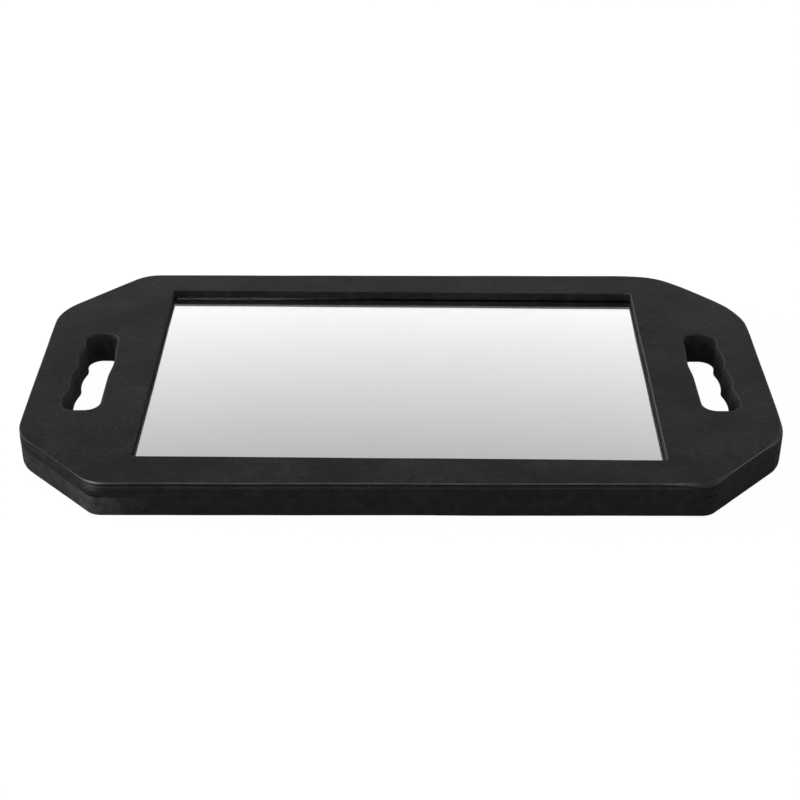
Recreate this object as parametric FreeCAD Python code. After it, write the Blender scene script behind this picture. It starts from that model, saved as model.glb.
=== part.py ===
import FreeCAD, Part
import math
import os

# Two-handed salon mirror: a flat octagonal board of laminated foam sheets that frames a thin glass
# mirror pane and has a finger-grooved hand-hole at each end. Millimetres.
# Frame: the board lies on its back face. +X runs along the board, +Y across it towards the edge that
# is far from the holder, +Z out of the mirror. The origin is the centre of the footprint, on the back.

# ---- driving dimensions -------------------------------------------------------------------------
board_length = 450.0
board_width = 250.0
corner_cut = 51.0            # leg of each 45 degree corner cut
end_vertex_radius = 32.0     # where a corner cut meets a short side
side_vertex_radius = 20.0    # where a corner cut meets a long side

back_thickness = 12.7
spacer_thickness = 3.4
front_thickness = 5.2
glue_thickness = 0.1
glue_inset = 0.8             # the glue stops this short of every cut edge

front_edge_round = 2.0
back_edge_round = 1.2
hole_edge_round = 0.8
window_edge_round = 0.5
seam_edge_round = 0.3        # the sheets' cut edges along each glue line

window_length = 307.2
window_width = 198.5
window_centre_y = 1.3

pane_lip = 3.0               # the front frame overlaps the pane by this much all round
pane_clearance = 0.5         # between the pane and the edge of the spacer's pocket
glass_thickness = 2.0
glass_arris = 0.3            # the pane's ground edges
silvering_thickness = 0.05
paint_thickness = 0.1

tape_count = 5
tape_width = 25.0
tape_end_margin = 12.0       # from a strip's end to the pane's edge

hole_inner_x = 180.9         # the hand-hole's smooth side, towards the mirror
hole_far_y = 44.8
hole_near_y = -46.8
hole_corner_radius = 8.5
finger_count = 4
finger_pitch = 25.0
finger_depth = 2.1
finger_centre_y = 2.5        # the middle of the row of finger grooves
finger_line_x = 200.93       # the line that the grooves are cut from, at finger_centre_y
finger_line_slope = -0.032   # that line leans outwards towards the holder
ridge_radius = 8.0           # between two grooves
palm_centre_y = 9.0
palm_length = 40.0           # a shallow hollow in the smooth side
palm_depth = 1.3

# ---- levels and sizes that follow from them -----------------------------------------------------
rear_glue_z = back_thickness
spacer_z = rear_glue_z + glue_thickness
front_glue_z = spacer_z + spacer_thickness
front_z = front_glue_z + glue_thickness
top_z = front_z + front_thickness

pane_length = window_length + 2 * pane_lip
pane_width = window_width + 2 * pane_lip
glass_z = front_z - glass_thickness
silvering_z = glass_z - silvering_thickness
paint_z = silvering_z - paint_thickness

groove_radius = (finger_pitch ** 2 / 4 + finger_depth ** 2) / (2 * finger_depth)

over = 5.0                   # how far a cutting tool stands past the faces that it cuts
near_zero = 1e-4


def point(x, y, z=0.0):
    return FreeCAD.Vector(x, y, z)


def arc(centre, start, end):
    """The shorter arc about a centre."""
    radius = (start - centre).Length
    outwards = ((start + end) * 0.5 - centre).normalize()
    return Part.Arc(start, centre + outwards * radius, end).toShape()


def line(start, end):
    return Part.LineSegment(start, end).toShape()


def prism(wire, z, height):
    """The solid between a flat wire moved up to z and the same wire that much higher."""
    solid = Part.Face(wire).extrude(point(0, 0, height))
    solid.translate(point(0, 0, z))
    return solid


# ---- outlines -----------------------------------------------------------------------------------
def rounded_wire(corners):
    """A closed wire through (x, y, radius) corners, with a tangent arc at each."""
    places = [point(x, y) for x, y, _ in corners]
    bends = []
    for i, (_, _, radius) in enumerate(corners):
        back = (places[i - 1] - places[i]).normalize()
        ahead = (places[(i + 1) % len(places)] - places[i]).normalize()
        half_angle = back.getAngle(ahead) / 2
        reach = radius / math.tan(half_angle)
        centre = places[i] + (back + ahead).normalize() * (radius / math.sin(half_angle))
        bends.append((centre, places[i] + back * reach, places[i] + ahead * reach))
    edges = []
    for i, (centre, start, end) in enumerate(bends):
        edges.append(arc(centre, start, end))
        edges.append(line(end, bends[(i + 1) % len(bends)][1]))
    return Part.Wire(edges)


def board_wire(inset):
    """The octagonal board's outline, drawn in by the inset."""
    x = board_length / 2 - inset
    y = board_width / 2 - inset
    cut = corner_cut - inset * (2 - math.sqrt(2))
    end_radius = end_vertex_radius - inset
    side_radius = side_vertex_radius - inset
    corners = []
    for sign_x, sign_y in ((1, -1), (1, 1), (-1, 1), (-1, -1)):
        side = (sign_x * (x - cut), sign_y * y, side_radius)
        end = (sign_x * x, sign_y * (y - cut), end_radius)
        corners += [side, end] if sign_x * sign_y < 0 else [end, side]
    return rounded_wire(corners)


def board_plate(z, thickness, inset=0.0):
    """A plate with the board's outline."""
    return prism(board_wire(inset), z, thickness)


def finger_line(y):
    """Where the line that the finger grooves are cut from stands at that y."""
    return finger_line_x + finger_line_slope * (y - finger_centre_y)


def touch(centre, towards, radius):
    """The point of a circle that faces another point."""
    return centre + (towards - centre).normalize() * radius


def corner_centre(groove, y):
    """The centre, at that y, of the end's corner arc that runs tangent into a finger groove."""
    reach = groove_radius - hole_corner_radius
    return point(groove.x + math.sqrt(reach ** 2 - (y - groove.y) ** 2), y)


def ridge_centre(groove, following):
    """The centre of the ridge's arc, which is tangent to the grooves on both sides of it."""
    half = (following - groove) * 0.5
    reach = math.sqrt((groove_radius + ridge_radius) ** 2 - half.Length ** 2)
    return groove + half + point(half.y, -half.x).normalize() * reach


def fingered_side():
    """The hand-hole's outer side, from its near end to its far end: corner, grooves, ridges, corner."""
    grooves = []
    for i in range(finger_count):
        y = finger_centre_y + (i - (finger_count - 1) / 2) * finger_pitch
        grooves.append(point(finger_line(y) + finger_depth - groove_radius, y))
    near_corner = corner_centre(grooves[0], hole_near_y + hole_corner_radius)
    far_corner = corner_centre(grooves[-1], hole_far_y - hole_corner_radius)
    here = touch(grooves[0], near_corner, groove_radius)
    edges = [arc(near_corner, point(near_corner.x, hole_near_y), here)]
    for groove, following in zip(grooves, grooves[1:]):
        ridge = ridge_centre(groove, following)
        leave = touch(groove, ridge, groove_radius)
        meet = touch(following, ridge, groove_radius)
        edges += [arc(groove, here, leave), arc(ridge, leave, meet)]
        here = meet
    leave = touch(grooves[-1], far_corner, groove_radius)
    edges.append(arc(grooves[-1], here, leave))
    edges.append(arc(far_corner, leave, point(far_corner.x, hole_far_y)))
    return edges


def smooth_side():
    """The hand-hole's inner side, from its far end to its near end, with a shallow hollow for the palm."""
    x = hole_inner_x
    quarter = palm_length / 4
    radius = (quarter ** 2 + (palm_depth / 2) ** 2) / palm_depth
    far = palm_centre_y + palm_length / 2
    near = palm_centre_y - palm_length / 2
    entry = point(x - palm_depth / 2, far - quarter)
    leave = point(x - palm_depth / 2, near + quarter)
    far_corner = point(x + hole_corner_radius, hole_far_y - hole_corner_radius)
    near_corner = point(x + hole_corner_radius, hole_near_y + hole_corner_radius)
    return [
        arc(far_corner, point(far_corner.x, hole_far_y), point(x, far_corner.y)),
        line(point(x, far_corner.y), point(x, far)),
        arc(point(x - radius, far), point(x, far), entry),
        arc(point(x - palm_depth + radius, palm_centre_y), entry, leave),
        arc(point(x - radius, near), leave, point(x, near)),
        line(point(x, near), point(x, near_corner.y)),
        arc(near_corner, point(x, near_corner.y), point(near_corner.x, hole_near_y)),
    ]


def hand_hole_wire():
    """The outline of the hand-hole at +X."""
    outer = fingered_side()
    inner = smooth_side()
    far_end = line(outer[-1].Vertexes[-1].Point, inner[0].Vertexes[0].Point)
    near_end = line(inner[-1].Vertexes[-1].Point, outer[0].Vertexes[0].Point)
    return Part.Wire(outer + [far_end] + inner + [near_end])


# ---- cutting tools ------------------------------------------------------------------------------
def both_ends(solid):
    """A solid at +X and its mirror image at -X."""
    return [solid, solid.mirror(point(0, 0), point(1, 0))]


def hand_holes(z, thickness):
    return both_ends(prism(hand_hole_wire(), z - over, thickness + 2 * over))


def glue_free_slots(z, thickness):
    """Plain slots that keep the glue clear of the hand-holes' cut edges."""
    inner = hole_inner_x - palm_depth - glue_inset
    outer = finger_line(hole_near_y) + finger_depth + glue_inset
    far = hole_far_y + glue_inset
    near = hole_near_y - glue_inset
    places = ((inner, near), (outer, near), (outer, far), (inner, far))
    wire = rounded_wire([(x, y, hole_corner_radius) for x, y in places])
    return both_ends(prism(wire, z - over, thickness + 2 * over))


def window_block(grow, z, height):
    """A block as large as the window, made larger by grow on every side."""
    length = window_length + 2 * grow
    width = window_width + 2 * grow
    return Part.makeBox(length, width, height, point(-length / 2, window_centre_y - width / 2, z))


def pane_pocket(z, thickness):
    return window_block(pane_lip + pane_clearance, z - over, thickness + 2 * over)


# ---- rounded edges ------------------------------------------------------------------------------
def in_hand_hole(place):
    along = hole_inner_x - over < abs(place.x) < finger_line_x + 2 * over
    return along and hole_near_y - over < place.y < hole_far_y + over


def in_window(place):
    across = abs(place.y - window_centre_y)
    return abs(place.x) < window_length / 2 + over and across < window_width / 2 + over


def round_edges(solid, z, radius, chosen):
    """Rounds the edges at height z whose middles are chosen."""
    edges = []
    for edge in solid.Edges:
        box = edge.BoundBox
        level = box.ZLength < near_zero and abs(box.ZMin - z) < near_zero
        if level and chosen(box.Center):
            edges.append(edge)
    return solid.makeFillet(radius, edges)


def foam_sheet(z, thickness, bottom_round, top_round, hole_bottom_round, hole_top_round):
    """A sheet with the board's outline and both hand-holes, and its cut edges rounded."""
    sheet = board_plate(z, thickness)
    sheet = round_edges(sheet, z, bottom_round, lambda place: True)
    sheet = round_edges(sheet, z + thickness, top_round, lambda place: True)
    sheet = sheet.cut(hand_holes(z, thickness))
    sheet = round_edges(sheet, z, hole_bottom_round, in_hand_hole)
    return round_edges(sheet, z + thickness, hole_top_round, in_hand_hole)


# ---- the pieces ---------------------------------------------------------------------------------
def back_panel():
    """The thick foam sheet that the mirror is stuck to."""
    return foam_sheet(0.0, back_thickness, back_edge_round, seam_edge_round,
                      hole_edge_round, seam_edge_round)


def spacer_frame():
    """The middle foam sheet, with the pocket that the pane lies in."""
    sheet = foam_sheet(spacer_z, spacer_thickness, seam_edge_round, seam_edge_round,
                       seam_edge_round, seam_edge_round)
    return sheet.cut(pane_pocket(spacer_z, spacer_thickness))


def front_frame():
    """The front foam sheet, whose window overlaps the pane's edges."""
    sheet = foam_sheet(front_z, front_thickness, seam_edge_round, front_edge_round,
                       seam_edge_round, hole_edge_round)
    sheet = sheet.cut(window_block(0.0, front_z - over, front_thickness + 2 * over))
    return round_edges(sheet, top_z, window_edge_round, in_window)


def glue_film(z):
    """A film of contact glue between two foam sheets, round the pane's pocket."""
    film = board_plate(z, glue_thickness, glue_inset)
    tools = glue_free_slots(z, glue_thickness) + [pane_pocket(z, glue_thickness)]
    return film.cut(tools)


def rear_glue_film():
    return glue_film(rear_glue_z)


def front_glue_film():
    return glue_film(front_glue_z)


def mirror_glass():
    """The glass pane, with its edges ground."""
    pane = window_block(pane_lip, glass_z, glass_thickness)
    return pane.makeChamfer(glass_arris, pane.Edges)


def mirror_silvering():
    """The reflecting metal layer on the back of the glass."""
    return window_block(pane_lip - glass_arris, silvering_z, silvering_thickness)


def mirror_backing_paint():
    """The paint that seals the silvering."""
    return window_block(pane_lip - glass_arris, paint_z, paint_thickness)


def mirror_mounting_tape():
    """Strips of double-sided foam tape between the painted pane and the back panel."""
    length = pane_width - 2 * tape_end_margin
    pitch = pane_length / tape_count
    strips = []
    for i in range(tape_count):
        x = (i - (tape_count - 1) / 2) * pitch - tape_width / 2
        corner = point(x, window_centre_y - length / 2, back_thickness)
        strips.append(Part.makeBox(tape_width, length, paint_z - back_thickness, corner))
    return Part.makeCompound(strips)


pieces = {
    "back_panel": back_panel,
    "rear_glue_film": rear_glue_film,
    "spacer_frame": spacer_frame,
    "front_glue_film": front_glue_film,
    "front_frame": front_frame,
    "mirror_glass": mirror_glass,
    "mirror_silvering": mirror_silvering,
    "mirror_backing_paint": mirror_backing_paint,
    "mirror_mounting_tape": mirror_mounting_tape,
}

os.makedirs("parts", exist_ok=True)
for name, make in pieces.items():
    shape = make()
    shape.exportStep(f"parts/{name}.step")
    print(name, len(shape.Solids), "solids", round(shape.Volume), "mm3", shape.isValid())
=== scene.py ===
"""The looks of a two-handed salon mirror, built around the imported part.

A flat octagonal board of three laminated sheets of black EVA foam frames a recessed glass mirror and
has a finger-grooved hand-hole at each end. Metres. +X runs along the board, +Y across it, away from
the holder, and +Z out of the mirror.
"""

import math

import bpy
from mathutils import Matrix, Vector, kdtree, noise
from mathutils.geometry import delaunay_2d_cdt


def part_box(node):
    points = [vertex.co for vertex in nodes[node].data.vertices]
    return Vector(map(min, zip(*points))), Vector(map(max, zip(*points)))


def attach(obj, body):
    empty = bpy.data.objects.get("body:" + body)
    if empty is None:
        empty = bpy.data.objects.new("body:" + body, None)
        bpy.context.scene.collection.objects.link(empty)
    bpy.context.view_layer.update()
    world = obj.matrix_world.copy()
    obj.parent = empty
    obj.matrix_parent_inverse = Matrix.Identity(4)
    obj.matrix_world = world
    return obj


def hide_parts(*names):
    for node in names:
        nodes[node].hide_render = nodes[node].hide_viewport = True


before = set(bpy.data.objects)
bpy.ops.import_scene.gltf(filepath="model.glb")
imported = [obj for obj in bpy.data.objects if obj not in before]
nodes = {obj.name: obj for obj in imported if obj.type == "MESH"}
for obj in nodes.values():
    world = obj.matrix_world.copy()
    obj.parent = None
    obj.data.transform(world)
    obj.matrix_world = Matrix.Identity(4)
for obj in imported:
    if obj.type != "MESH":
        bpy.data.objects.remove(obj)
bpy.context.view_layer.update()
bpy.context.scene.view_settings.view_transform = "Standard"

mm = 0.001
quarter_turn = math.pi / 2

# ---- the board's plan ---------------------------------------------------------------------------
board_low, board_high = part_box("back_panel")
half_length = (board_high.x - board_low.x) / 2
half_width = (board_high.y - board_low.y) / 2
corner_cut = 51 * mm               # leg of each 45 degree corner cut
near_side_radius = 20 * mm         # where a corner cut meets the long side by the holder,
back_near_side_radius = 11 * mm    # in the upper sheets and, cut less round, in the back one
far_side_radius = 23 * mm          # where it meets the long side away from the holder
near_end_radius = 31 * mm          # where it meets a short side
far_end_radius = 35 * mm

glass_low, glass_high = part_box("mirror_glass")
pane_lip = 3 * mm                  # the front frame overlaps the pane by this much
pane_clearance = 0.5 * mm          # between the pane and the edge of the spacer's pocket
window_corner_radius = 0.7 * mm
window_turn = math.radians(-0.65)  # the window is cut slightly askew, seen from above,
window_shift = -0.5 * mm           # and off centre along X

hole_inner_x = 180.9 * mm          # the hand-hole's smooth side, towards the mirror
hole_far_y = 44.8 * mm
hole_near_y = -46.8 * mm
hole_corner_radius = 8.5 * mm
finger_count = 4
finger_pitch = 25 * mm
finger_depth = 2.1 * mm
finger_centre_y = 2.5 * mm
finger_line_x = 200.93 * mm        # the line that the grooves are cut from, at finger_centre_y
finger_line_slope = -0.032
ridge_radius = 8 * mm
palm_centre_y = 9 * mm
palm_length = 40 * mm              # a shallow hollow in the smooth side
palm_depth = 1.3 * mm
groove_radius = (finger_pitch ** 2 / 4 + finger_depth ** 2) / (2 * finger_depth)

# ---- how the foam is cut ------------------------------------------------------------------------
front_edge_round = 0.7 * mm
front_edge_uneven = 0.18           # that radius varies by about this share
rolled_corner_round = 3.0 * mm     # the front edge is rounder by this much at the corners on the right,
rolled_corner_reach = 15 * mm
left_roll_share = 0.1              # and by this share of it on the left
lip_depth = 0.6 * mm               # the knife left a shallow groove just under the front edge,
lip_drop = 1.2 * mm                # this far down,
lip_reach = 0.4 * mm               # and this wide
shoulder_drop = 2.4 * mm           # the shoulder below the groove has a painted highlight
shoulder_highlight = 0.2
lean = 1.4 * mm                    # the front sheet's near side leans out by this much down to its seam
back_edge_round = 1.1 * mm
hole_edge_round = 1.1 * mm
window_edge_round = 0.45 * mm
seam_round = 0.05 * mm             # the sheets' cut edges along each glue line,
open_seam_round = 0.45 * mm        # and along the rear one where it stands open, on the left corner cut,
open_seam_reach = 45 * mm          # within about this far
torn_reach = 17 * mm               # the back sheet's side is torn this far from that cut's near end,
painted_glint_reach = 5 * mm                # and a glint is painted on the front edge there
sharp_round = 0.1 * mm             # edges that show no rounding

# ---- its rubbing, painted highlights and painted light, from 0 to 1 -----------------------------
spared_wear_and_highlight = 0.75                 # the front edge's paleness, from rubbing and painted highlight, lacks this much where rolled, and on the left cut
back_edge_wear_and_highlight = 0.25
hole_edge_wear_and_highlight = 0.12
left_painted_light = 0.3                   # painted light on the back sheet's wall, around the left corner cut
right_hole_painted_light = 0.45            # painted light on the hand-holes' walls
left_hole_painted_light = 0.9
full_wear_and_highlight_round = 0.6 * mm         # only edges at least this round show all their rubbing and painted highlight

# ---- how far the foam strays from its plan ------------------------------------------------------
knife_wander = 0.25 * mm           # in all the sheets together,
back_wander = 0.2 * mm             # and in each by itself
spacer_wander = 0.2 * mm
front_wander = 0.15 * mm
back_grain = 0.12 * mm             # the roughness of the cut walls
spacer_grain = 0.08 * mm
front_grain = 0.05 * mm
hole_ragged = 0.6                  # the share of that roughness in the hand-holes' walls
window_ragged = 0.5                # and in the window's
front_wave = 0.12 * mm             # slow waves in the front face

line_step = 2.4 * mm               # mesh spacing along straight runs,
arc_step = 1.3 * mm                # along arcs,
arc_turn = math.radians(12)        # and the most that an arc turns in one step
wall_step = 1.3 * mm               # up the walls
cap_step = 4.5 * mm                # and over the flat faces
round_steps = 6
support = 0.9 * mm                 # a ring of flat faces beside each rounded edge
layer_gap = 0.005 * mm             # air between the pane's layers


# ---- trails -------------------------------------------------------------------------------------
# A trail is a closed list of (place, normal) pairs in plan. Whoever walks it has the foam on the
# left, and each normal points to the right, out of the foam.
def along_line(start, end):
    ahead = (end - start).normalized()
    normal = Vector((ahead.y, -ahead.x))
    count = math.ceil((end - start).length / line_step)
    return [(start.lerp(end, i / count), normal) for i in range(count)]


def along_arc(centre, start, end):
    """The shorter arc about a centre."""
    spoke = start - centre
    reach = end - centre
    turn = math.atan2(spoke.cross(reach), spoke.dot(reach))
    count = math.ceil(max(abs(turn) * spoke.length / arc_step, abs(turn) / arc_turn))
    trail = []
    for i in range(count):
        here = Matrix.Rotation(turn * i / count, 2) @ spoke
        trail.append((centre + here, here.normalized() * math.copysign(1, turn)))
    return trail


def rounded_trail(corners):
    """The trail round (x, y, radius) corners, with a tangent arc at each."""
    places = [Vector(corner[:2]) for corner in corners]
    bends = []
    for i, (_, _, radius) in enumerate(corners):
        back = (places[i - 1] - places[i]).normalized()
        ahead = (places[(i + 1) % len(places)] - places[i]).normalized()
        half_angle = back.angle(ahead) / 2
        reach = radius / math.tan(half_angle)
        centre = places[i] + (back + ahead).normalized() * radius / math.sin(half_angle)
        bends.append((centre, places[i] + back * reach, places[i] + ahead * reach))
    trail = []
    for i, (centre, start, end) in enumerate(bends):
        trail += along_arc(centre, start, end)
        trail += along_line(end, bends[(i + 1) % len(bends)][1])
    return trail


def as_hole(trail):
    """The trail walked the other way, for a hole in the foam."""
    return [(place, -normal) for place, normal in reversed(trail)]


def mirrored(hole):
    """The hole's mirror image at the other end of the board."""
    flipped = [(Vector((-p.x, p.y)), Vector((-n.x, n.y))) for p, n in hole]
    return list(reversed(flipped))


def board_trail(near_radius):
    trail_corners = []
    for sign_x, sign_y in ((1, -1), (1, 1), (-1, 1), (-1, -1)):
        side_radius = far_side_radius if sign_y > 0 else near_radius
        end_radius = far_end_radius if sign_y > 0 else near_end_radius
        side = (sign_x * (half_length - corner_cut), sign_y * half_width, side_radius)
        end = (sign_x * half_length, sign_y * (half_width - corner_cut), end_radius)
        trail_corners += [side, end] if sign_x * sign_y < 0 else [end, side]
    return rounded_trail(trail_corners)


def pane_trail(grow, turn=0.0, shift=0.0):
    """A hole the shape of the pane, made larger by grow on every side, turned and shifted along X."""
    centre = (glass_low + glass_high).to_2d() / 2
    half = (glass_high - glass_low).to_2d() / 2
    corners = []
    for sign_x, sign_y in ((-1, -1), (1, -1), (1, 1), (-1, 1)):
        spoke = Vector((sign_x * (half.x + grow), sign_y * (half.y + grow)))
        corner = centre + Matrix.Rotation(turn, 2) @ spoke
        corners.append((corner.x + shift, corner.y, window_corner_radius))
    return as_hole(rounded_trail(corners))


def finger_line(y):
    return finger_line_x + finger_line_slope * (y - finger_centre_y)


def touch(centre, towards, radius):
    """The point of a circle that faces another point."""
    return centre + (towards - centre).normalized() * radius


def corner_centre(groove, y):
    """The centre, at that y, of the end's corner arc that runs tangent into a finger groove."""
    reach = groove_radius - hole_corner_radius
    return Vector((groove.x + math.sqrt(reach ** 2 - (y - groove.y) ** 2), y))


def ridge_centre(groove, following):
    """The centre of the ridge's arc, which is tangent to the grooves on both sides of it."""
    half = (following - groove) / 2
    reach = math.sqrt((groove_radius + ridge_radius) ** 2 - half.length_squared)
    return groove + half + Vector((half.y, -half.x)).normalized() * reach


def fingered_side():
    """The hand-hole's outer side, from its near end to its far end."""
    grooves = []
    for i in range(finger_count):
        y = finger_centre_y + (i - (finger_count - 1) / 2) * finger_pitch
        grooves.append(Vector((finger_line(y) + finger_depth - groove_radius, y)))
    near_corner = corner_centre(grooves[0], hole_near_y + hole_corner_radius)
    far_corner = corner_centre(grooves[-1], hole_far_y - hole_corner_radius)
    here = touch(grooves[0], near_corner, groove_radius)
    trail = along_arc(near_corner, Vector((near_corner.x, hole_near_y)), here)
    for groove, following in zip(grooves, grooves[1:]):
        ridge = ridge_centre(groove, following)
        leave = touch(groove, ridge, groove_radius)
        meet = touch(following, ridge, groove_radius)
        trail += along_arc(groove, here, leave)
        trail += along_arc(ridge, leave, meet)
        here = meet
    leave = touch(grooves[-1], far_corner, groove_radius)
    trail += along_arc(grooves[-1], here, leave)
    far_end = Vector((far_corner.x, hole_far_y))
    trail += along_arc(far_corner, leave, far_end)
    return trail + along_line(far_end, Vector((hole_inner_x + hole_corner_radius, hole_far_y)))


def smooth_side():
    """The hand-hole's inner side, from its far end to its near end, with the palm's hollow."""
    x = hole_inner_x
    quarter = palm_length / 4
    radius = (quarter ** 2 + (palm_depth / 2) ** 2) / palm_depth
    far = palm_centre_y + palm_length / 2
    near = palm_centre_y - palm_length / 2
    entry = Vector((x - palm_depth / 2, far - quarter))
    leave = Vector((x - palm_depth / 2, near + quarter))
    far_corner = Vector((x + hole_corner_radius, hole_far_y - hole_corner_radius))
    near_corner = Vector((x + hole_corner_radius, hole_near_y + hole_corner_radius))
    trail = along_arc(far_corner, Vector((far_corner.x, hole_far_y)), Vector((x, far_corner.y)))
    trail += along_line(Vector((x, far_corner.y)), Vector((x, far)))
    trail += along_arc(Vector((x - radius, far)), Vector((x, far)), entry)
    trail += along_arc(Vector((x - palm_depth + radius, palm_centre_y)), entry, leave)
    trail += along_arc(Vector((x - radius, near)), leave, Vector((x, near)))
    trail += along_line(Vector((x, near)), Vector((x, near_corner.y)))
    return trail + along_arc(near_corner, Vector((x, near_corner.y)), Vector((near_corner.x, hole_near_y)))


def hand_hole_trail():
    """The hand-hole at +X."""
    outer = fingered_side()
    inner = smooth_side()
    near_corner_x = hole_inner_x + hole_corner_radius
    near_end = along_line(Vector((near_corner_x, hole_near_y)), outer[0][0])
    return as_hole(outer + inner + near_end)


# ---- how the foam departs from its plan ---------------------------------------------------------
def ripple(place, wavelength, seed):
    """Smooth noise, from about -1 to 1, that changes over about a wavelength."""
    return noise.noise(Vector(place) / wavelength + Vector((seed, 2 * seed, 3 * seed)))


def corner_share(place):
    """1 at the board's eight corners, falling to 0 away from them."""
    nearest = 1.0
    for x, y in ((half_length - corner_cut, half_width), (half_length, half_width - corner_cut)):
        gap = Vector((abs(place.x) - x, abs(place.y) - y)).length
        nearest = min(nearest, gap)
    return math.exp(-(nearest / rolled_corner_reach) ** 2)


def near_left(share_of_cut, reach):
    """A share that is 1 at a place along the left corner cut by the holder, counted from the cut's end
    on the long side, and falls to 0 away from it."""
    x = corner_cut * (1 - share_of_cut) - half_length
    y = corner_cut * share_of_cut - half_width
    return lambda place: math.exp(-((place - Vector((x, y))).length / reach) ** 2)


open_share = near_left(0.6, open_seam_reach)    # the seam stands open most past the cut's middle
torn_share = near_left(0.0, torn_reach)
# painted glint on the front edge at the left corner cut's near end
painted_glint_share = near_left(0.0, painted_glint_reach)


def open_seam(place):
    """The rounding along the rear glue line: tight, but larger where the seam stands open."""
    return seam_round + (open_seam_round - seam_round) * open_share(place)


def front_round(place):
    """The radius of the front sheet's outer edge: rounder at the corners and a little uneven."""
    uneven = 1 + front_edge_uneven * ripple((place.x, place.y, 0), 45 * mm, 4.1)
    side = 1.0 if place.x > 0 else left_roll_share
    return front_edge_round * uneven + side * rolled_corner_round * corner_share(place)


def even(value):
    """A rounding, or a share, that is the same all the way round."""
    return lambda place: value


def back_scuff_and_light(place):
    """How pale the back sheet's wall is painted: a tear at one corner, painted light along the left."""
    return min(1.0, torn_share(place) + left_painted_light * open_share(place))


def front_wear_and_highlight(place):
    """Front edge paleness from rubbing and a painted highlight; less where rolled and on the left cut."""
    spared = corner_share(place) if place.x > 0 else open_share(place) - painted_glint_share(place)
    return 1.0 - spared_wear_and_highlight * max(0.0, spared)


def by_window_side(left, right, others):
    """A share that differs between the window's sides."""
    short_side_x = glass_high.x - pane_lip - 3 * mm    # the short sides lie beyond this

    def share(place):
        if abs(place.x) < short_side_x:
            return others
        return right if place.x > 0 else left
    return share


def in_hole(steps):
    """Whether a triangle, turning left, fills part of a hole: its corners, given as (ring, step) or
    None, are all on one ring and run against the way that the ring is walked."""
    if None in steps or len({ring for ring, _ in steps}) > 1:
        return False
    first, second, third = (step for _, step in steps)
    return not (first < second < third or second < third < first or third < first < second)


class Wall:
    """A cut wall of a sheet: its trail, how ragged it is, and at each place the radius of its lower
    and upper edge, how pale its wall is painted, for a tear and for light falling on it, and how pale
    its edges are, from rubbing and a painted highlight. On its near side, a wall that is lipped has a
    shallow groove under its upper edge, with a painted highlight on the shoulder below it, and leans
    out down to the seam."""

    def __init__(self, trail, low_round, high_round, ragged, scuff_and_light, wear_and_highlight, lipped=False):
        self.trail = trail
        self.low_round = low_round
        self.high_round = high_round
        self.ragged = ragged
        self.scuff_and_light = scuff_and_light
        self.wear_and_highlight = wear_and_highlight
        self.lipped = lipped
        self.step = lip_reach / 2 if lipped else wall_step

    def lip_share(self, normal):
        """1 on the side that faces the holder, falling to 0 at the board's ends."""
        return max(0.0, -normal.y) ** 3 if self.lipped else 0.0

    def recess(self, drop, height):
        """How far the near side stands back at that drop below the upper face."""
        groove = lip_depth * math.exp(-((drop - lip_drop) / lip_reach) ** 2)
        return groove + lean * max(0.0, 1 - drop / height) ** 2

    def rubbed_and_highlight(self, drop):
        """The painted highlight on the near side's shoulder at that drop."""
        return shoulder_highlight * math.exp(-((drop - shoulder_drop) / lip_reach) ** 2)

    def rows(self, place, normal, low, high):
        """(inset, height, cut, worn_and_highlit) up the wall, from the flat underside to the flat top."""
        below = self.low_round(place)
        above = self.high_round(place)
        # painted highlight: the edges' paleness, partly rubbing and partly a painted highlight, peaks
        # mid-way round each rounded edge
        wear_and_highlight_below = self.wear_and_highlight(place) * min(1.0, below / full_wear_and_highlight_round)
        wear_and_highlight_above = self.wear_and_highlight(place) * min(1.0, above / full_wear_and_highlight_round)
        rows = [(below + support, low, 0, 0)]
        for k in range(round_steps + 1):
            angle = quarter_turn * k / round_steps
            inset = below * (1 - math.sin(angle))
            height = low + below * (1 - math.cos(angle))
            rows.append((inset, height, k / round_steps, wear_and_highlight_below * math.sin(2 * angle)))
        share = self.lip_share(normal)
        levels = max(2, round((high - low) / self.step))
        foot = low + below
        head = high - above
        for k in range(1, levels):
            height = foot + (head - foot) * k / levels
            drop = high - height
            rows.append((share * self.recess(drop, high - low), height, 1, share * self.rubbed_and_highlight(drop)))
        set_back = share * self.recess(0.0, high - low)
        for k in range(round_steps + 1):
            angle = quarter_turn * k / round_steps
            inset = set_back + above * (1 - math.cos(angle))
            height = head + above * math.sin(angle)
            rows.append((inset, height, 1 - k / round_steps, wear_and_highlight_above * math.sin(2 * angle)))
        rows.append((set_back + above + support, high, 0, 0))
        return rows


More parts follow.
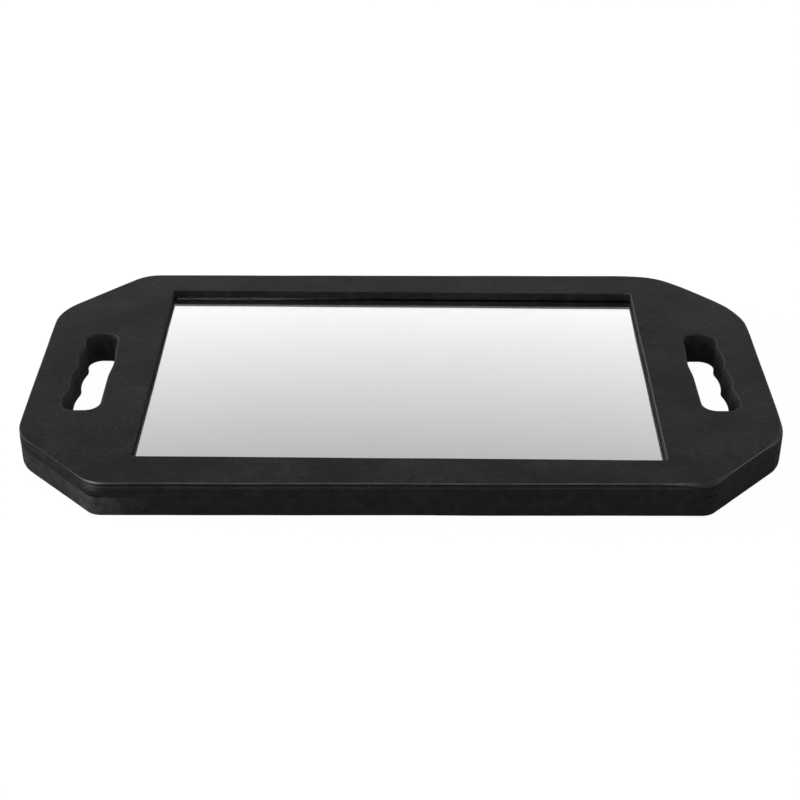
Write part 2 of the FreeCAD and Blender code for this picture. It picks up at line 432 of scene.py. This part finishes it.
class Sheet:
    """A foam sheet as a closed mesh: walls along its trails, and flat faces between them. It strays
    from its plan by its wander, its cut walls are rough by its grain, and its top has slow waves."""

    def __init__(self, node, walls, seed, wander, grain, top_wave=0.0):
        self.low, self.high = (corner.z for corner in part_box(node))
        self.walls = walls
        self.seed = seed
        self.wander = wander
        self.grain = grain
        self.top_wave = top_wave
        self.places = []
        self.cut = []
        self.worn_and_highlit = []
        self.scuffed_and_lit = []
        self.faces = []

    def departure(self, place, height, cut):
        """How far the wall stands out of its plan: hand-guided cutting, then the foam's own grain."""
        plan = (place.x, place.y, 0)
        guided = knife_wander * ripple(plan, 70 * mm, 1.7) + self.wander * ripple(plan, 38 * mm, self.seed)
        solid_place = (place.x, place.y, height)
        coarse = ripple(solid_place, 7 * mm, self.seed + 5)
        fine = ripple(solid_place, 3 * mm, self.seed + 9)
        return guided + cut * self.grain * (coarse + 0.6 * fine)

    def lift(self, x, y, height):
        """The flat top's slow waves, which die out towards the underside."""
        share = (height - self.low) / (self.high - self.low)
        return self.top_wave * share * ripple((x, y, 0), 60 * mm, 8.3)

    def add(self, x, y, height, cut=0.0, worn_and_highlit=0.0, scuffed_and_lit=0.0):
        self.places.append((x, y, height + self.lift(x, y, height)))
        self.cut.append(cut)
        self.worn_and_highlit.append(worn_and_highlit)
        self.scuffed_and_lit.append(scuffed_and_lit)
        return len(self.places) - 1

    def add_wall(self, wall):
        """Adds a wall and returns its lowest and highest ring of corners."""
        columns = []
        for place, normal in wall.trail:
            column = []
            for inset, height, cut, worn_and_highlit in wall.rows(place, normal, self.low, self.high):
                out = self.departure(place, height, cut * wall.ragged) - inset
                x, y = place + normal * out
                column.append(self.add(x, y, height, cut, worn_and_highlit, wall.scuff_and_light(place)))
            columns.append(column)
        for column, following in zip(columns, columns[1:] + columns[:1]):
            for k in range(len(column) - 1):
                self.faces.append((column[k], following[k], following[k + 1], column[k + 1]))
        return [column[0] for column in columns], [column[-1] for column in columns]

    def inner_points(self):
        """A staggered grid of places inside the foam, clear of every wall."""
        edge = [pair for wall in self.walls for pair in wall.trail]
        tree = kdtree.KDTree(len(edge))
        for i, (place, _) in enumerate(edge):
            tree.insert(place.to_3d(), i)
        tree.balance()
        row_step = cap_step * math.sqrt(3) / 2
        clearance = front_edge_round + rolled_corner_round + support + cap_step / 2
        points = []
        for row in range(round(2 * half_width / row_step)):
            for column in range(round(2 * half_length / cap_step)):
                x = (column + row % 2 / 2) * cap_step - half_length
                here = Vector((x, row * row_step - half_width, 0))
                nearest, i, gap = tree.find(here)
                if gap > clearance and (here - nearest).to_2d().dot(edge[i][1]) < 0:
                    points.append(here)
        return points

    def add_cap(self, rings, height, upwards):
        """Closes the sheet's top or underside, between its rings of corners."""
        corners = [i for ring in rings for i in ring]
        steps = [(number, step) for number, ring in enumerate(rings) for step in range(len(ring))]
        edges = []
        for ring in rings:
            start = len(edges)
            edges += [(start + i, start + (i + 1) % len(ring)) for i in range(len(ring))]
        corners += [self.add(point.x, point.y, height) for point in self.inner_points()]
        plan = [Vector(self.places[i][:2]) for i in corners]
        made = delaunay_2d_cdt(plan, edges, [], 1, 1e-7)
        triangles, sources = made[2], made[3]
        for triangle in triangles:
            triangle = [sources[i][0] for i in triangle]
            if in_hole([steps[i] if i < len(steps) else None for i in triangle]):
                continue
            face = [corners[i] for i in triangle]
            self.faces.append(face if upwards else face[::-1])

    def build(self, name):
        lower, upper = zip(*(self.add_wall(wall) for wall in self.walls))
        self.add_cap(lower, self.low, False)
        self.add_cap(upper, self.high, True)
        mesh = bpy.data.meshes.new(name)
        mesh.from_pydata(self.places, [], self.faces)
        mesh.shade_smooth()
        for label, values in (("cut", self.cut), ("worn_and_highlit", self.worn_and_highlit), ("scuffed_and_lit", self.scuffed_and_lit)):
            mesh.attributes.new(label, "FLOAT", "POINT").data.foreach_set("value", values)
        piece = bpy.data.objects.new(name, mesh)
        bpy.context.scene.collection.objects.link(piece)
        return piece


# ---- materials ----------------------------------------------------------------------------------
class Graph:
    """A material's nodes, with short calls to add and join them."""

    def __init__(self, name):
        self.material = bpy.data.materials.new(name)
        self.material.use_nodes = True
        self.tree = self.material.node_tree
        self.surface = self.tree.nodes["Principled BSDF"]
        self.place = self.node("TexCoord").outputs["Object"]

    def feed(self, socket, value):
        if isinstance(value, bpy.types.NodeSocket):
            self.tree.links.new(value, socket)
        else:
            socket.default_value = value

    def node(self, kind, **settings):
        made = self.tree.nodes.new("ShaderNode" + kind)
        for key, value in settings.items():
            setattr(made, key, value)
        return made

    def attribute(self, label):
        return self.node("Attribute", attribute_name=label).outputs["Fac"]

    def stretched(self, x, y, z):
        """Object coordinates times a factor along each axis."""
        made = self.node("VectorMath", operation="MULTIPLY")
        self.feed(made.inputs[0], self.place)
        made.inputs[1].default_value = (x, y, z)
        return made.outputs[0]

    def noise(self, size, detail=2.0, place=None):
        """Cloudy noise from 0 to 1 with lumps about that large."""
        made = self.node("TexNoise")
        self.feed(made.inputs["Vector"], place or self.place)
        made.inputs["Scale"].default_value = 1 / size
        made.inputs["Detail"].default_value = detail
        return made.outputs["Fac"]

    def cells(self, size, output="Distance"):
        made = self.node("TexVoronoi")
        self.feed(made.inputs["Vector"], self.place)
        made.inputs["Scale"].default_value = 1 / size
        return made.outputs[output]

    def math(self, operation, *values):
        made = self.node("Math", operation=operation)
        for socket, value in zip(made.inputs, values):
            self.feed(socket, value)
        return made.outputs[0]

    def remap(self, value, low, high, to_low=0.0, to_high=1.0):
        made = self.node("MapRange")
        values = (value, low, high, to_low, to_high)
        for socket, each in zip(made.inputs, values):
            self.feed(socket, each)
        return made.outputs[0]

    def mix(self, share, first, second):
        """A number between two numbers."""
        made = self.node("Mix", data_type="FLOAT")
        for socket, value in zip((made.inputs[0], made.inputs[2], made.inputs[3]), (share, first, second)):
            self.feed(socket, value)
        return made.outputs[0]

    def blend(self, share, first, second, blend_type="MIX"):
        """A colour between two colours."""
        made = self.node("Mix", data_type="RGBA", blend_type=blend_type)
        for socket, value in zip((made.inputs[0], made.inputs[6], made.inputs[7]), (share, first, second)):
            self.feed(socket, value)
        return made.outputs[2]

    def bump(self, height, depth, strength=1.0):
        made = self.node("Bump")
        self.feed(made.inputs["Height"], height)
        made.inputs["Distance"].default_value = depth
        made.inputs["Strength"].default_value = strength
        return made.outputs["Normal"]


def grey(value, rose=0.0):
    """A neutral colour, or one with a slight rosy cast."""
    return (value * (1 + rose), value * (1 - rose), value, 1.0)


foam_cast = 0.045
skin_colour = grey(0.0105, foam_cast)
cut_colour = grey(0.0102, foam_cast)
# painted light: paler cut-wall colours, for a tear at one corner and for light falling on the hole, window
# and left cut walls
torn_and_lit_colours = (grey(0.022, foam_cast), grey(0.040, foam_cast))
# painted highlight: the rounded edges' pale colour, partly rubbing and partly a painted highlight
rubbed_and_highlight_colour = grey(0.088)
# painted glint: paler still where pale edges meet painted-light or torn walls, brightest at the front
# edge's left corner
torn_edge_and_glint_colour = grey(0.18)
dust_colour = grey(0.11)
skin_roughness = (0.38, 0.54)
cut_roughness = 0.82
rubbed_roughness = 0.45


def black_foam():
    """EVA foam: a fine matt skin on the sheet's faces, open cells where it was cut, paler edges from
    rubbing and a painted highlight, and cut walls painted paler for a tear and for light falling on them."""
    graph = Graph("black_foam")
    cut = graph.attribute("cut")
    worn_and_highlit = graph.attribute("worn_and_highlit")
    scuffed_and_lit = graph.attribute("scuffed_and_lit")

    clouds = graph.noise(32 * mm, 3.0)
    streaks = graph.noise(9 * mm, 2.0, graph.stretched(0.12, 1.0, 1.0))
    mottle = graph.noise(4.5 * mm, 3.0)
    grain = graph.noise(1.1 * mm, 3.0)
    pores = graph.cells(0.8 * mm)
    lumps = graph.noise(6 * mm, 3.0)

    tone = graph.remap(clouds, 0.35, 0.65, 0.66, 1.34)
    tone = graph.math("MULTIPLY", tone, graph.remap(streaks, 0.3, 0.7, 0.94, 1.06))
    tone = graph.math("MULTIPLY", tone, graph.remap(mottle, 0.3, 0.7, 0.66, 1.34))
    tone = graph.math("MULTIPLY", tone, graph.remap(grain, 0.3, 0.7, 0.60, 1.40))
    skin = graph.blend(1.0, skin_colour, tone, "MULTIPLY")

    cut_tone = graph.math(
        "MULTIPLY", graph.remap(lumps, 0.3, 0.7, 0.75, 1.3), graph.remap(pores, 0.0, 0.8, 0.7, 1.2)
    )
    raw = graph.blend(1.0, cut_colour, cut_tone, "MULTIPLY")
    # painted light: cut walls paler where the mask is set, for a tear and for light falling on them
    torn_and_lit = graph.blend(graph.remap(lumps, 0.35, 0.65), *torn_and_lit_colours)
    raw = graph.blend(scuffed_and_lit, raw, torn_and_lit)

    patchy = graph.math("ADD", graph.remap(graph.noise(14 * mm, 3.0), 0.3, 0.65, 0.5, 1.0), scuffed_and_lit)
    # painted highlight: how pale the edges are, from rubbing and a painted highlight
    rubbed_and_highlight = graph.math("MULTIPLY", worn_and_highlit, graph.math("MINIMUM", patchy, 1.0))
    colour = graph.blend(cut, skin, raw)
    # painted highlight and painted glint on the edges
    colour = graph.blend(rubbed_and_highlight, colour, graph.blend(scuffed_and_lit, rubbed_and_highlight_colour, torn_edge_and_glint_colour))
    dust = graph.math("MULTIPLY", specks(graph), graph.math("SUBTRACT", 1.0, cut))
    colour = graph.blend(dust, colour, dust_colour)
    graph.feed(graph.surface.inputs["Base Color"], colour)

    roughness = graph.mix(cut, graph.remap(mottle, 0.3, 0.7, *skin_roughness), cut_roughness)
    graph.feed(graph.surface.inputs["Roughness"], graph.mix(rubbed_and_highlight, roughness, rubbed_roughness))
    graph.surface.inputs["Specular IOR Level"].default_value = 0.1

    dents = graph.math("ADD", graph.math("MULTIPLY", mottle, 2.4), graph.math("MULTIPLY", clouds, 2.5))
    skin_height = graph.math("ADD", graph.math("MULTIPLY", grain, 0.6), dents)
    cut_height = graph.math("ADD", graph.math("MULTIPLY", pores, 0.5), graph.math("MULTIPLY", lumps, 0.8))
    height = graph.mix(cut, graph.math("MULTIPLY", skin_height, 0.35), cut_height)
    graph.feed(graph.surface.inputs["Normal"], graph.bump(height, 0.25 * mm, 0.8))
    return graph.material


def specks(graph):
    """Sparse specks of dust, well under a millimetre across."""
    near_centre = graph.remap(graph.cells(16 * mm), 0.02, 0.045, 1.0, 0.0)
    chosen = graph.math("GREATER_THAN", graph.cells(16 * mm, "Color"), 0.62)
    return graph.math("MULTIPLY", near_centre, graph.math("MULTIPLY", chosen, 0.6))


def clear_glass():
    """Float glass, very slightly green."""
    graph = Graph("clear_glass")
    tint = graph.remap(graph.noise(120 * mm), 0.3, 0.7, 0.0, 1.0)
    colour = graph.blend(tint, (0.975, 0.979, 0.977, 1), (0.982, 0.985, 0.983, 1))
    graph.feed(graph.surface.inputs["Base Color"], colour)
    graph.surface.inputs["Transmission Weight"].default_value = 1.0
    graph.surface.inputs["IOR"].default_value = 1.5
    graph.surface.inputs["Specular IOR Level"].default_value = 0.3
    graph.feed(graph.surface.inputs["Roughness"], graph.remap(graph.noise(30 * mm), 0.3, 0.7, 0.0, 0.01))
    return graph.material


def silvering():
    """The reflecting metal behind the glass, very slightly rosy."""
    graph = Graph("silvering")
    haze = graph.noise(60 * mm, 3.0)
    colour = graph.blend(graph.remap(haze, 0.3, 0.7), (0.962, 0.936, 0.950, 1), (0.970, 0.944, 0.958, 1))
    graph.feed(graph.surface.inputs["Base Color"], colour)
    graph.surface.inputs["Metallic"].default_value = 1.0
    graph.feed(graph.surface.inputs["Roughness"], graph.remap(haze, 0.3, 0.7, 0.0, 0.015))
    return graph.material


def backing_paint():
    """Grey-blue sealing paint, sprayed."""
    graph = Graph("backing_paint")
    orange_peel = graph.noise(1.5 * mm, 2.0)
    colour = graph.blend(graph.noise(20 * mm, 3.0), (0.14, 0.15, 0.17, 1), (0.18, 0.19, 0.21, 1))
    graph.feed(graph.surface.inputs["Base Color"], colour)
    graph.feed(graph.surface.inputs["Roughness"], graph.remap(orange_peel, 0.3, 0.7, 0.4, 0.55))
    graph.feed(graph.surface.inputs["Normal"], graph.bump(orange_peel, 0.03 * mm))
    return graph.material


def foam_tape():
    """White double-sided foam tape with fine open cells."""
    graph = Graph("foam_tape")
    pores = graph.cells(0.5 * mm)
    colour = graph.blend(pores, (0.62, 0.61, 0.57, 1), (0.84, 0.83, 0.79, 1))
    graph.feed(graph.surface.inputs["Base Color"], colour)
    graph.feed(graph.surface.inputs["Roughness"], graph.remap(pores, 0.0, 0.8, 0.7, 0.9))
    graph.feed(graph.surface.inputs["Normal"], graph.bump(pores, 0.1 * mm))
    return graph.material


def contact_glue():
    """A dark dried film, brushed along the board."""
    graph = Graph("contact_glue")
    brushed = graph.noise(3 * mm, 3.0, graph.stretched(0.1, 1.0, 1.0))
    colour = graph.blend(brushed, (0.035, 0.03, 0.024, 1), (0.065, 0.057, 0.043, 1))
    graph.feed(graph.surface.inputs["Base Color"], colour)
    graph.feed(graph.surface.inputs["Roughness"], graph.remap(brushed, 0.3, 0.7, 0.35, 0.6))
    graph.feed(graph.surface.inputs["Normal"], graph.bump(brushed, 0.05 * mm))
    return graph.material


# ---- the pieces ---------------------------------------------------------------------------------
def add_sheets():
    """The three foam sheets, in place of their plain CAD solids."""
    board = board_trail(near_side_radius)
    back_board = board_trail(back_near_side_radius)
    right_hole = hand_hole_trail()
    holes = (right_hole, mirrored(right_hole))
    window = pane_trail(-pane_lip, window_turn, window_shift)
    pocket = pane_trail(pane_clearance)

    none = even(0.0)
    shut = even(seam_round)
    sharp = even(sharp_round)
    # painted light on the hand-holes' walls
    hole_painted_lights = (even(right_hole_painted_light), even(left_hole_painted_light))
    hole_wear_and_highlight = even(hole_edge_wear_and_highlight)
    # painted light on the window's walls, most on the left
    window_painted_light = by_window_side(left=0.9, right=0.6, others=0.3)
    # painted highlight on the window's rim, mostly on the right
    window_highlight = by_window_side(left=0.1, right=0.75, others=0.1)

    back_wear_and_highlight = even(back_edge_wear_and_highlight)
    back_walls = [Wall(back_board, even(back_edge_round), open_seam, 1.0, back_scuff_and_light, back_wear_and_highlight)]
    spacer_walls = [Wall(board, open_seam, shut, 1.0, none, none)]
    front_walls = [Wall(board, shut, front_round, 1.0, painted_glint_share, front_wear_and_highlight, lipped=True)]
    for hole, scuff_and_light in zip(holes, hole_painted_lights):
        back_walls.append(Wall(hole, even(hole_edge_round), shut, hole_ragged, scuff_and_light, hole_wear_and_highlight))
        spacer_walls.append(Wall(hole, shut, shut, hole_ragged, scuff_and_light, none))
        front_walls.append(Wall(hole, shut, even(hole_edge_round), hole_ragged, scuff_and_light, hole_wear_and_highlight))
    spacer_walls.append(Wall(pocket, sharp, sharp, 0.0, none, none))
    rim = even(window_edge_round)
    front_walls.append(Wall(window, sharp, rim, window_ragged, window_painted_light, window_highlight))

    back = Sheet("back_panel", back_walls, seed=11.3, wander=back_wander, grain=back_grain)
    spacer = Sheet("spacer_frame", spacer_walls, seed=17.9, wander=spacer_wander, grain=spacer_grain)
    front = Sheet(
        "front_frame", front_walls, seed=23.1, wander=front_wander, grain=front_grain, top_wave=front_wave
    )
    foam = black_foam()
    for name, node, sheet in (
        ("back_foam_sheet", "back_panel", back),
        ("spacer_foam_sheet", "spacer_frame", spacer),
        ("front_foam_sheet", "front_frame", front),
    ):
        piece = sheet.build(name)
        piece.data.materials.append(foam)
        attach(piece, "root")
        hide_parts(node)


def add_pane_layer(name, node, material, chamfer):
    """One layer of the mirror pane, in place of its CAD solid, with its edges ground at 45 degrees.
    It is drawn a hair thinner than the solid, so that no two layers share a face."""
    low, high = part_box(node)
    rings = (
        (chamfer, low.z + layer_gap),
        (0.0, low.z + layer_gap + chamfer),
        (0.0, high.z - layer_gap - chamfer),
        (chamfer, high.z - layer_gap),
    )
    places = []
    for inset, height in rings:
        places += [(x, y, height) for x, y in (
            (low.x + inset, low.y + inset),
            (high.x - inset, low.y + inset),
            (high.x - inset, high.y - inset),
            (low.x + inset, high.y - inset),
        )]
    faces = [(3, 2, 1, 0), (12, 13, 14, 15)]
    for start in (0, 4, 8):
        for i in range(4):
            j = (i + 1) % 4
            faces.append((start + i, start + j, start + 4 + j, start + 4 + i))
    mesh = bpy.data.meshes.new(name)
    mesh.from_pydata(places, [], faces)
    mesh.materials.append(material)
    piece = bpy.data.objects.new(name, mesh)
    bpy.context.scene.collection.objects.link(piece)
    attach(piece, "root")
    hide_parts(node)


def add_pane():
    add_pane_layer("mirror_glass_pane", "mirror_glass", clear_glass(), 0.3 * mm)
    add_pane_layer("silver_layer", "mirror_silvering", silvering(), 0.01 * mm)
    add_pane_layer("paint_layer", "mirror_backing_paint", backing_paint(), 0.03 * mm)


def dress(node, material):
    """Gives a CAD node its material."""
    piece = nodes[node]
    piece.data.materials.clear()
    piece.data.materials.append(material)


def dress_nodes():
    glue = contact_glue()
    dress("rear_glue_film", glue)
    dress("front_glue_film", glue)
    dress("mirror_mounting_tape", foam_tape())


# ---- the studio ---------------------------------------------------------------------------------
def add_floor():
    """A large pale floor. The camera sees it evenly white, and it lights the object only a little."""
    reach = 6.0
    depth = -0.1 * mm
    mesh = bpy.data.meshes.new("floor")
    signs = ((-1, -1), (1, -1), (1, 1), (-1, 1))
    corners = [(x * reach, y * reach, depth) for x, y in signs]
    mesh.from_pydata(corners, [], [(0, 1, 2, 3)])
    floor = bpy.data.objects.new("floor", mesh)
    bpy.context.scene.collection.objects.link(floor)

    graph = Graph("floor")
    graph.tree.nodes.remove(graph.surface)
    lit = graph.node("BsdfDiffuse")
    lit.inputs["Color"].default_value = grey(0.8)
    faint = graph.node("BsdfDiffuse")
    faint.inputs["Color"].default_value = grey(0.03)
    glow = graph.node("Emission")
    glow.inputs["Color"].default_value = grey(0.975)
    seen = graph.node("AddShader")
    graph.feed(seen.inputs[0], faint.outputs[0])
    graph.feed(seen.inputs[1], glow.outputs[0])
    choice = graph.node("MixShader")
    graph.feed(choice.inputs[0], graph.node("LightPath").outputs["Is Camera Ray"])
    graph.feed(choice.inputs[1], lit.outputs[0])
    graph.feed(choice.inputs[2], seen.outputs[0])
    output = graph.tree.nodes["Material Output"]
    graph.feed(output.inputs["Surface"], choice.outputs[0])
    mesh.materials.append(graph.material)


def add_world():
    """The same all round. It is white at the horizon and a little dimmer above it, brightens again,
    and darkens smoothly over the heights that the mirror shows to the camera."""
    world = bpy.data.worlds.new("studio")
    world.use_nodes = True
    tree = world.node_tree
    bpy.context.scene.world = world

    direction = tree.nodes.new("ShaderNodeTexCoord")
    split = tree.nodes.new("ShaderNodeSeparateXYZ")
    tone = tree.nodes.new("ShaderNodeValToRGB")
    light = tree.nodes.new("ShaderNodeMath")
    stops = tone.color_ramp.elements
    stops.remove(stops[1])
    gamma = 2.2
    brightest = 1.06
    stops[0].position = 0.12
    stops[0].color = grey(1.0 / brightest)
    for rise, value in ((0.27, 0.93), (0.42, 0.95), (0.474, brightest), (0.657, 0.42)):
        stops.new(rise).color = grey(value / brightest)
    light.operation = "POWER"
    light.inputs[1].default_value = gamma
    background = tree.nodes["Background"]
    background.inputs["Color"].default_value = grey(brightest ** gamma)
    tree.links.new(direction.outputs["Generated"], split.inputs[0])
    tree.links.new(split.outputs["Z"], tone.inputs[0])
    tree.links.new(tone.outputs["Color"], light.inputs[0])
    tree.links.new(light.outputs[0], background.inputs["Strength"])


def softbox(name, place, size, power, reflected=True):
    """A rectangular soft light that faces the object. One that isn't reflected leaves no glare."""
    data = bpy.data.lights.new(name, "AREA")
    data.shape = "RECTANGLE"
    data.size, data.size_y = size
    data.energy = power
    light = bpy.data.objects.new(name, data)
    light.location = place
    light.visible_glossy = reflected
    light.rotation_euler = (-Vector(place)).to_track_quat("-Z", "Y").to_euler()
    bpy.context.scene.collection.objects.link(light)


def add_lights():
    softbox("overhead", place=(0.0, 0.25, 2.0), size=(2.2, 1.4), power=17)
    softbox("left", place=(-1.9, 0.1, 0.6), size=(1.7, 1.1), power=49, reflected=False)
    softbox("right", place=(1.9, 0.1, 0.6), size=(1.7, 1.1), power=4, reflected=False)


def add_camera():
    """Stands at the holder's side and looks down at the mirror, a little over 32 degrees."""
    place = (-0.00204, -0.87837, 0.55016)
    pitch, yaw, roll = 0.56035, 0.00165, 0.00268
    data = bpy.data.cameras.new("camera")
    data.sensor_width = 36
    data.lens = 74.25
    camera = bpy.data.objects.new("camera", data)
    camera.matrix_world = (
        Matrix.Translation(place)
        @ Matrix.Rotation(-yaw, 4, "Z")
        @ Matrix.Rotation(quarter_turn - pitch, 4, "X")
        @ Matrix.Rotation(roll, 4, "Z")
    )
    bpy.context.scene.collection.objects.link(camera)
    bpy.context.scene.camera = camera


add_camera()
add_sheets()
add_pane()
dress_nodes()
add_floor()
add_world()
add_lights()
